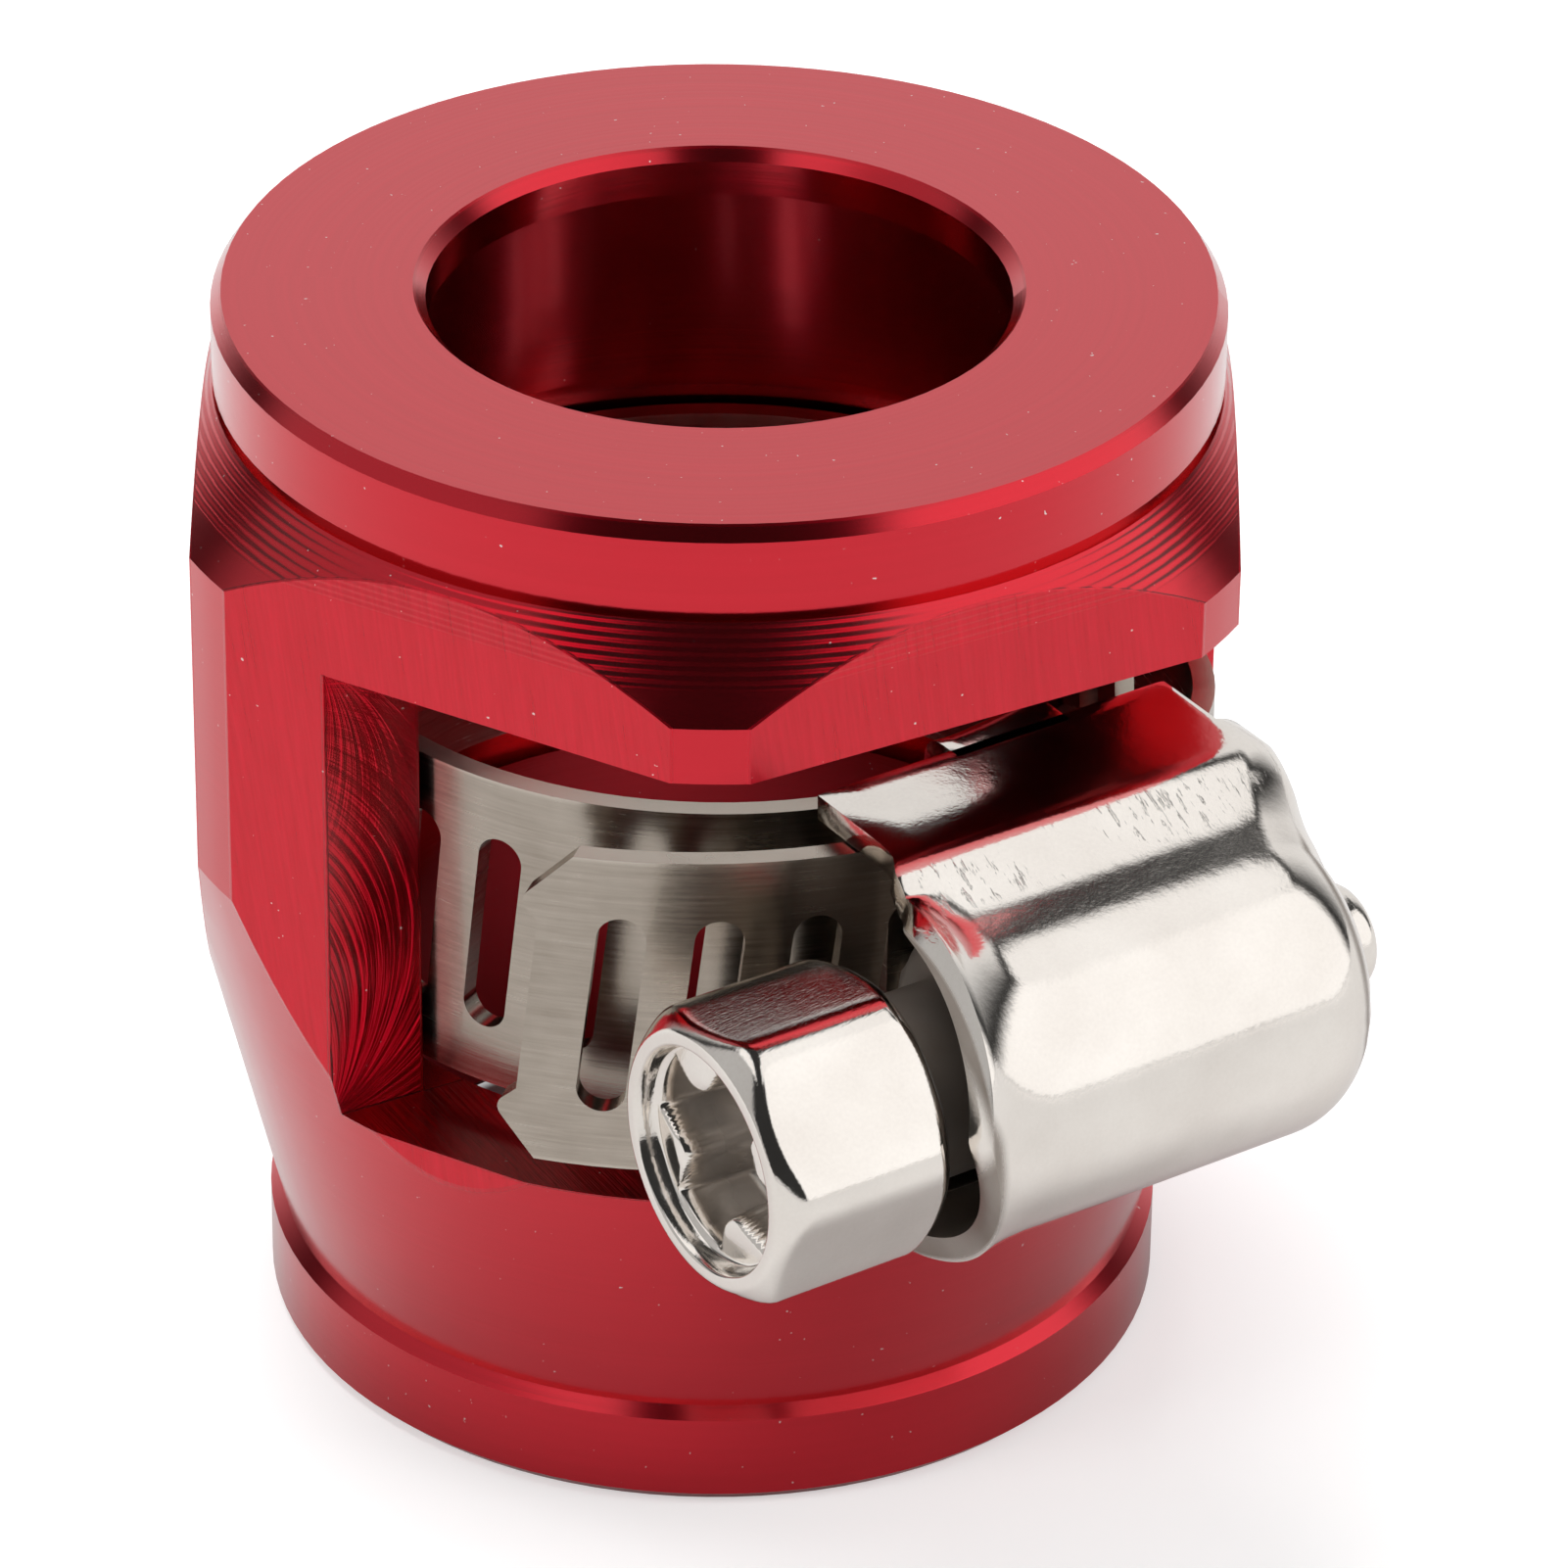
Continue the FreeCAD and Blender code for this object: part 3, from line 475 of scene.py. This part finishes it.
def makeNickel(name, peelHeight, hairHeight, threaded):
    # painted shade: the screw's recess and thread, or the inside of the cover, are tinted dark and made
    # less metallic
    paint = Finish(bpy.data.materials.new(name))
    place, x, y, z = paint.places()
    peel = paint.noise(place, 2.6, 2.0, 0.5)
    hair = paint.noise(paint.join(x * 3.0 + y * 2.0, y * 12.0 - x * 12.0, z * 12.0), 1.0, 3.0, 0.6)
    grain = paint.noise(place, 11.0, 2.0, 0.6)
    patches = paint.noise(place, 0.5, 2.0, 0.5)
    height = peel * peelHeight + grain * nickel["grain"] + hair * hairHeight
    shade = (0.75 + (patches - 0.5) * 0.8 + (grain - 0.5) * 0.3).atMost(1.0).atLeast(0.0)
    tint = paint.blend(shade, nickel["grey"], nickel["light"])
    s = x * alongScrew.x + y * alongScrew.y
    aside = x * outward.x + y * outward.y - screwLine
    radius = paint.length(paint.join(aside, z - clampCentre.z, 0.0))
    # painted shade where these places lie hidden from the light
    if threaded:
        recess = s.band(*nickel["recessLevel"], 0.5) * radius.step(2.2, 2.5, 1.0, 0.0)
        shadedPlaces = (recess * 0.6).atLeast(s.band(*nickel["threadLevel"], 0.06))
    else:
        flare = (nickel["flareLevel"] - s).atLeast(0.0)
        shadedPlaces = ((radius - flare * flare * 0.2).step(*nickel["insideReach"], 1.0, 0.0)
                  * s.band(*nickel["insideLevel"], 0.1))
    # painted shade: share of the dark tint at each place
    paintedShadeShare = shadedPlaces * (0.55 + patches * 0.5).atMost(0.95)
    tint = paint.blend(paintedShadeShare, tint, nickel["paintedShade"])
    rough = nickel["gloss"] + (patches - 0.5) * 0.08 + (grain - 0.5) * 0.05 + paintedShadeShare * 0.3
    if not threaded:
        scraped = paint.noise(paint.join(s * 8.0, aside * 1.5, z * 1.5), 1.0, 3.0, 0.6).step(0.56, 0.7)
        scraped = (scraped * abs(z - clampCentre.z).band(*nickel["scrapeHeight"], 0.08)
                   * patches.step(0.42, 0.55))
        height = height + scraped * nickel["scrape"]
        rough = rough + scraped * 0.16
    return paint.surface(Base_Color=tint, Metallic=1.0 - paintedShadeShare * 0.6, Roughness=rough,
                         Normal=paint.bump(height))


anodisedRed = makeAnodisedRed()
bandSteel = makeBandSteel()
nickelPlate = makeNickel("nickelPlate", peelHeight=0.0035, hairHeight=0.0004, threaded=False)
screwNickel = makeNickel("screwNickel", peelHeight=0.0012, hairHeight=0.003, threaded=True)
finishes = {
    "hose_end_socket": anodisedRed,
    "clamp_saddle": bandSteel,
}


def clampPoint(s, p, z):
    return (alongScrew * s + outward * p + Vector((0, 0, z)) + clampCentre) * mm


def soft(share):
    # an even rise from 0 to 1 with a level start and end
    share = min(max(share, 0.0), 1.0)
    return share * share * (3 - 2 * share)


def mix(first, second, share):
    return first + (second - first) * share


def lattice(shape, rows, closed=False):
    # quads between rows of equally many points
    grid = [[shape.verts.new(point) for point in row] for row in rows]
    for upper, lower in zip(grid, grid[1:]):
        count = len(upper) if closed else len(upper) - 1
        for k in range(count):
            after = (k + 1) % len(upper)
            shape.faces.new((upper[k], upper[after], lower[after], lower[k]))
    return grid


def closedRun(shape, rows):
    # a solid through rings of points, with a flat cap at each end
    grid = lattice(shape, rows, True)
    shape.faces.new(grid[0])
    shape.faces.new(grid[-1][::-1])


def finishPiece(name, shape, body, replaced, material):
    bmesh.ops.remove_doubles(shape, verts=shape.verts[:], dist=0.002 * mm)
    bmesh.ops.dissolve_degenerate(shape, edges=shape.edges[:], dist=0.001 * mm)
    bmesh.ops.recalc_face_normals(shape, faces=shape.faces[:])
    mesh = bpy.data.meshes.new(name)
    shape.to_mesh(mesh)
    shape.free()
    mesh.materials.append(material)
    for face in mesh.polygons:
        face.use_smooth = True
    piece = bpy.data.objects.new(name, mesh)
    bpy.context.scene.collection.objects.link(piece)
    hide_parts(replaced)
    if body:
        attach(piece, body)
    return piece


def freeze(piece):
    # the piece's modifiers made part of its mesh
    graph = bpy.context.evaluated_depsgraph_get()
    made = bpy.data.meshes.new_from_object(piece.evaluated_get(graph))
    piece.modifiers.clear()
    piece.data = made


def thicken(piece, depth):
    wall = piece.modifiers.new("sheet", "SOLIDIFY")
    wall.thickness = depth * mm
    wall.offset = -1
    freeze(piece)


def cutAway(piece, shape):
    # takes the closed shape out of the piece
    bmesh.ops.recalc_face_normals(shape, faces=shape.faces[:])
    mesh = bpy.data.meshes.new("cutter")
    shape.to_mesh(mesh)
    shape.free()
    cutter = bpy.data.objects.new("cutter", mesh)
    bpy.context.scene.collection.objects.link(cutter)
    cut = piece.modifiers.new("cut", "BOOLEAN")
    cut.operation = "DIFFERENCE"
    cut.solver = "EXACT"
    cut.object = cutter
    freeze(piece)
    bpy.data.objects.remove(cutter)
    bpy.data.meshes.remove(mesh)
    for face in piece.data.polygons:
        face.use_smooth = True


# Pressed cover of the worm
cover = {
    "barrel": 3.75,
    "endRound": 1.9,
    "end": 6.2,
    "skirtRound": 1.3,
    "skirtEnd": 6.8,
    "endFoot": 11.2,
    "lowEnd": 5.75,
    "half": 4.6,
    "foot": 9.3,
    "footStep": 0.49,
    "edge": -3.5,
    "sheet": 0.6,
    "wornEdge": 0.09,
    # fold between skirt and barrel, as (p from the screw, z, share of the barrel)
    "foldStart": (-1.9, 4.6, 0.0),
    "foldCorner": (-1.387, 4.6, 0.15),
    "fold": (-0.95, 4.327, 0.3),
    "slope": (-0.35, 3.952, 0.6),
    "valley": (0.2, 3.815, 0.75),
    "valleyCorner": (0.55, 3.728, 0.85),
    "roundFrom": 14,
    # mouth: its rim leans, and flares out less on the far side
    "mouthFoot": 12.0,
    "mouthBlend": 0.9,
    "mouthAcross": 0.585,
    "mouthUp": 0.81,
    "flareStart": -2.8,
    "flare": 4.32,
    "flareLoss": 0.4,
    "rim": -4.75,
    "rimTilt": 0.2,
    "leanLimit": 1.5,
    "leanBack": 1.6,
    "hole": 1.31,
    "holeSpan": (4.9, 7.5),
    # toes under the strip
    "toe": 8.3,
    "toeInner": 2.4,
    "toeRoot": 9.6,
    "toeRound": 0.7,
    "toeWidth": 3.0,
}


def bend(first, middle, last, count):
    # points on a smooth bend between two straight runs
    points = []
    for k in range(count):
        t = k / count
        points.append([a * (1 - t) ** 2 + b * 2 * t * (1 - t) + c * t * t
                       for a, b, c in zip(first, middle, last)])
    return points


def coverSection():
    # half of the cross section, from the skirt's foot to the ridge, as (p, z, share of the barrel)
    def fromScrew(name):
        p, z, share = cover[name]
        return (screwLine + p, z, share)

    points = [(cover["foot"] + k * cover["footStep"], cover["half"], 0.0) for k in range(6)]
    low = math.radians(cover["roundFrom"])
    reach = cover["barrel"]
    last = (screwLine + reach * math.sin(low), reach * math.cos(low), 1.0)
    points += bend(fromScrew("foldStart"), fromScrew("foldCorner"), fromScrew("fold"), 9)
    points += bend(fromScrew("fold"), fromScrew("slope"), fromScrew("valley"), 9)
    points += bend(fromScrew("valley"), fromScrew("valleyCorner"), last, 6)
    for k in range(25):
        angle = mix(low, math.pi / 2, k / 24)
        points.append((screwLine + reach * math.sin(angle), reach * math.cos(angle), 1.0))
    return points


def coverRow(p, half, share, side):
    # one height of the cover, from its open end along one side and round to the middle of its far end
    reach, rounding = cover["barrel"], mix(cover["skirtRound"], cover["endRound"], share)
    above = max(p - screwLine, 0.0)
    flat = reach - rounding
    far = mix(cover["skirtEnd"], cover["end"], share) - rounding
    tilt = cover["mouthAcross"] * (p - screwLine) - cover["mouthUp"] * half * side
    reached = soft((p - cover["mouthFoot"]) / cover["mouthBlend"])
    lean = min(tilt, cover["leanLimit"]) - cover["leanBack"] * max(tilt - cover["leanLimit"], 0.0)
    rim = mix(cover["edge"], cover["rim"] - cover["rimTilt"] * lean, reached)
    start = mix(cover["edge"], cover["flareStart"], reached)
    widest = cover["flare"] - cover["flareLoss"] * soft(tilt / cover["barrel"])
    points = []
    length = max(math.hypot(p - screwLine, half), 0.001)
    for k in range(9):
        f = 1 - k / 8
        rise = max(widest - length, 0.0) * f * f * reached
        points.append((mix(start, rim, f), p + rise * (p - screwLine) / length,
                       half + rise * half / length))
    for k in range(1, 11):
        points.append((mix(start, far, k / 11), p, half))
    last = math.pi / 2 if above <= flat else math.acos((above - flat) / rounding)
    base = math.sqrt(max(reach ** 2 - above ** 2, 0.0))
    for k in range(17):
        angle = last * k / 16
        radius = flat + rounding * math.cos(angle)
        ratio = math.sqrt(max(radius ** 2 - above ** 2, 0.0)) / base if base > 0.001 else 0.0
        plain = (half - rounding + rounding * math.cos(angle)) / half if half > 0.001 else 0.0
        points.append((far + rounding * math.sin(angle), p, half * mix(plain, ratio, share)))
    s, _, z = points[-1]
    points += [(s, p, z * (1 - k / 5)) for k in range(1, 6)]
    return points


def addToes(piece):
    # tongues from both skirts, folded under the strip's inner layer
    shape = bmesh.new()
    shape.from_mesh(piece.data)
    old = len(shape.faces)
    half, toe, end, root = cover["half"], cover["toe"], cover["toeInner"], cover["toeRoot"]
    level, reach, rounding = half - cover["sheet"], toe + cover["sheet"], cover["toeRound"]
    outline = [(root, half)] + bend((toe + rounding, half), (toe, half), (toe, half - rounding), 6)
    outline += [(toe, half - rounding), (toe, end)]
    outline += [(reach, end), (reach, level - 0.02), (reach + 0.02, level), (root, level)]
    for side in (1, -1):
        rows = []
        for s in [cover["toeWidth"] * k / 8 for k in range(9)]:
            rows.append([clampPoint(s, r if r > cover["foot"] else math.sqrt(r * r - s * s), z * side)
                         for r, z in outline])
        closedRun(shape, rows)
    shape.faces.ensure_lookup_table()
    bmesh.ops.recalc_face_normals(shape, faces=shape.faces[old:])
    for face in shape.faces[old:]:
        face.smooth = True
    shape.to_mesh(piece.data)
    shape.free()


def makeWormCover():
    shape = bmesh.new()
    for side in (1, -1):
        rows = []
        for p, half, share in coverSection():
            row = coverRow(p, half, share, side)
            rows.append([clampPoint(s, q, z * side) for s, q, z in row])
        lattice(shape, rows)
    # the end stays open below, where the strip comes out
    lowEnd = []
    for face in shape.faces:
        place = face.calc_center_median() / mm - clampCentre
        if place.dot(alongScrew) > cover["lowEnd"] and place.dot(outward) < cover["endFoot"]:
            lowEnd.append(face)
    bmesh.ops.delete(shape, geom=lowEnd, context="FACES")
    piece = finishPiece("wormCover", shape, "carriage", "worm_housing", nickelPlate)
    thicken(piece, cover["sheet"])
    addToes(piece)
    hole = bmesh.new()
    ring = [(cover["hole"] * math.cos(a), cover["hole"] * math.sin(a))
            for a in (2 * math.pi * k / 48 for k in range(48))]
    closedRun(hole, [[clampPoint(s, screwLine + p, z) for p, z in ring] for s in cover["holeSpan"]])
    cutAway(piece, hole)
    wear = piece.modifiers.new("wornEdge", "BEVEL")
    wear.width = cover["wornEdge"] * mm
    wear.segments = 2
    wear.limit_method = "ANGLE"
    wear.angle_limit = math.radians(50)


# Worm screw: a headed hexagon with a cross recess, a threaded core and a plain tip
screw = {
    "face": -9.70,
    "back": -5.37,
    "flat": 3.05,
    "corner": 3.35,
    "rim": 2.87,
    "rimSlope": 1.15,
    "backDrop": 0.3,
    "headTurn": 52,
    # where rows of points lie on the head, from its face
    "headRows": (0.02, 0.07, 0.13, 0.2, 0.28, 0.36, 0.45, 0.55, 0.66, 0.8, 1.0, 1.5, 2.2, 3.0, 3.6,
                 3.8, 3.9, 4.0, 4.1, 4.2, 4.3),
    # counterbore and cross recess
    "bore": 2.52,
    "boreDepth": 0.5,
    "arm": 0.75,
    "armReach": 2.25,
    "lobeRound": 0.6,
    "lobeRise": 0.10,
    "recess": 2.6,
    "recessTurn": 20,
    "root": 2.1,
    "crest": 3.0,
    "pitch": 2.1,
    "neck": 2.25,
    "threadStart": -2.45,
    "threadEnd": 4.1,
    "toothFoot": 0.55,
    "flank": 0.3,
    "rowStart": -3.2,
    "rowStep": 0.1,
    "coreEnd": 4.8,
    "tip": 7.5,
    "tipRadius": 1.25,
    "tipRound": 0.4,
    "columns": 192,
}


def least(first, second, softness):
    # the smaller of two lengths, rounded off where they meet
    share = max(softness - abs(first - second), 0.0) / softness
    return min(first, second) - share * share * softness / 4


def headRadius(s, angle):
    turned = (angle - math.radians(screw["headTurn"])) % math.radians(60) - math.radians(30)
    hexagon = least(screw["flat"] / math.cos(turned), screw["corner"], 0.16)
    front = screw["rim"] + (s - screw["face"]) * screw["rimSlope"]
    rear = screw["corner"] - screw["backDrop"] + (screw["back"] - s)
    return least(least(hexagon, front, 0.26), rear, 0.12)


def faceDepth(radius, angle):
    # how far the end of the head lies below its rim
    turned = angle - math.radians(screw["recessTurn"])
    x, y = abs(radius * math.cos(turned)), abs(radius * math.sin(turned))
    rounding = screw["lobeRound"]
    gap = rounding - math.hypot(max(rounding - x + screw["arm"], 0), max(rounding - y + screw["arm"], 0))
    inside = min(-gap, screw["armReach"] - radius)
    bore = soft((screw["bore"] - radius) / 0.16 + 0.5) * screw["boreDepth"]
    deep = screw["recess"] - screw["boreDepth"]
    wall = soft(inside / 0.26 + 0.5) * 0.82 + soft(inside / 0.8) * 0.18
    lobe = soft((radius - 1.2) / 0.5) * soft((screw["bore"] - radius) / 0.9) * screw["lobeRise"]
    return bore + deep * wall - lobe * (1 - wall) * soft((screw["bore"] - radius) / 0.2)


def toothHeight(s, angle):
    # height of the thread over the core
    turns = angle / (2 * math.pi)
    nearest = round((s - screw["threadStart"]) / screw["pitch"] - turns)
    centre = screw["threadStart"] + screw["pitch"] * (turns + max(nearest, 0))
    if centre > screw["threadEnd"]:
        centre -= screw["pitch"]
    across = abs(s - centre)
    full = screw["crest"] - screw["root"]
    return full * min(max((screw["toothFoot"] - across) / screw["flank"], 0.0), 1.0)


def makeWormScrew():
    shape = bmesh.new()
    count = screw["columns"]
    angles = [2 * math.pi * k / count for k in range(count)]
    face, back = screw["face"], screw["back"]

    def ring(s, radius):
        reach = radius if callable(radius) else lambda place, angle: radius
        row = []
        for angle in angles:
            r = reach(s, angle)
            row.append(clampPoint(s, screwLine - r * math.cos(angle), r * math.sin(angle)))
        return row

    rows = []
    for k in range(1, 66):
        r = screw["rim"] * 0.985 * k / 65
        rows.append([clampPoint(face + faceDepth(r, a), screwLine - r * math.cos(a), r * math.sin(a))
                     for a in angles])
    for s in screw["headRows"]:
        rows.append(ring(face + s, headRadius))
    rows.append(ring(back, screw["corner"] - 0.4))
    rows.append(ring(back, screw["neck"]))
    rows.append(ring(back + 0.12, screw["root"]))
    step, first = screw["rowStep"], screw["rowStart"]
    for k in range(int((screw["coreEnd"] - first) / step)):
        rows.append(ring(first + step * k, lambda s, a: screw["root"] + toothHeight(s, a)))
    rows.append(ring(screw["coreEnd"], screw["root"]))
    rows.append(ring(screw["coreEnd"], screw["tipRadius"]))
    tip, rounding = screw["tip"] - screw["tipRound"], screw["tipRound"]
    for k in range(7):
        angle = math.pi / 2 * k / 6
        rows.append(ring(tip + rounding * math.sin(angle),
                         screw["tipRadius"] - rounding + rounding * math.cos(angle)))
    rows.append(ring(screw["tip"], 0.3))
    grid = lattice(shape, rows, True)
    for row, s in ((grid[0], face + faceDepth(0, 0)), (grid[-1], screw["tip"])):
        middle = shape.verts.new(clampPoint(s, screwLine, 0))
        for k in range(count):
            shape.faces.new((row[k], row[(k + 1) % count], middle))
    finishPiece("wormScrew", shape, "screw", "worm_screw", screwNickel)


# Perforated strip
strip = {
    "bendStart": -8.0,
    "bendEnd": 9.0,
    "sharpAngle": 32,
    "earRound": 0.32,
    # directions at the free end, as (s, p): towards the end and out of the strip's face
    "endward": (-0.634, -0.773),
    "faceward": (-0.773, 0.634),
    # tips of the two ears as (s, p, z), and how their two edges run from there as (endward, z)
    "earTips": (((-9.415, 6.64, 2.7), (-1.245, 1.25), (-0.442, -0.5)),
                ((-9.795, 6.15, -2.7), (-0.955, -1.25), (-0.558, 0.5))),
    "earDepth": 0.6,
}


def addEarCut(shape, tip, first, second):
    # a prism that rounds the corner at the tip
    first, second = Vector(first).normalized(), Vector(second).normalized()
    middle = (first + second).normalized()
    half = first.angle(second) / 2
    radius = strip["earRound"]
    run, centre = radius / math.tan(half), middle * radius / math.sin(half)
    start, end = first * run - centre, second * run - centre
    outline = [centre + start.lerp(end, k / 7).normalized() * radius for k in range(8)]
    outline += [outline[-1] + end.normalized() * 0.2, middle * -0.5, outline[0] + start.normalized() * 0.2]
    rows = []
    for depth in (-strip["earDepth"], strip["earDepth"]):
        rows.append([clampPoint(tip[0] + strip["endward"][0] * u + strip["faceward"][0] * depth,
                                tip[1] + strip["endward"][1] * u + strip["faceward"][1] * depth,
                                tip[2] + z) for u, z in outline])
    closedRun(shape, rows)


def markSharp(mesh, limit):
    # edges with a turn above the limit stay sharp
    shape = bmesh.new()
    shape.from_mesh(mesh)
    for edge in shape.edges:
        edge.smooth = len(edge.link_faces) == 2 and edge.calc_face_angle(0) < limit
    shape.to_mesh(mesh)
    shape.free()


def makeClampStrip():
    shape = bmesh.new()
    shape.from_mesh(nodes["clamp_band"].data)
    bmesh.ops.remove_doubles(shape, verts=shape.verts[:], dist=0.001 * mm)
    piece = finishPiece("clampStrip", shape, None, "clamp_band", bandSteel)
    ears = bmesh.new()
    for tip, first, second in strip["earTips"]:
        addEarCut(ears, tip, first, second)
    cutAway(piece, ears)
    markSharp(piece.data, math.radians(strip["sharpAngle"]))
    start, end = (outward * strip[name] for name in ("bendStart", "bendEnd"))
    (start + clampCentre) * mm
    (end + clampCentre) * mm
    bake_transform(piece)


def dressNode(name, material):
    part = nodes[name]
    part.data.materials.clear()
    part.data.materials.append(material)
    for face in part.data.polygons:
        face.material_index = 0
        face.use_smooth = True


for name, material in finishes.items():
    dressNode(name, material)
print("nodes dressed")
makeWormCover()
print("cover pressed")
makeWormScrew()
print("screw turned")
makeClampStrip()
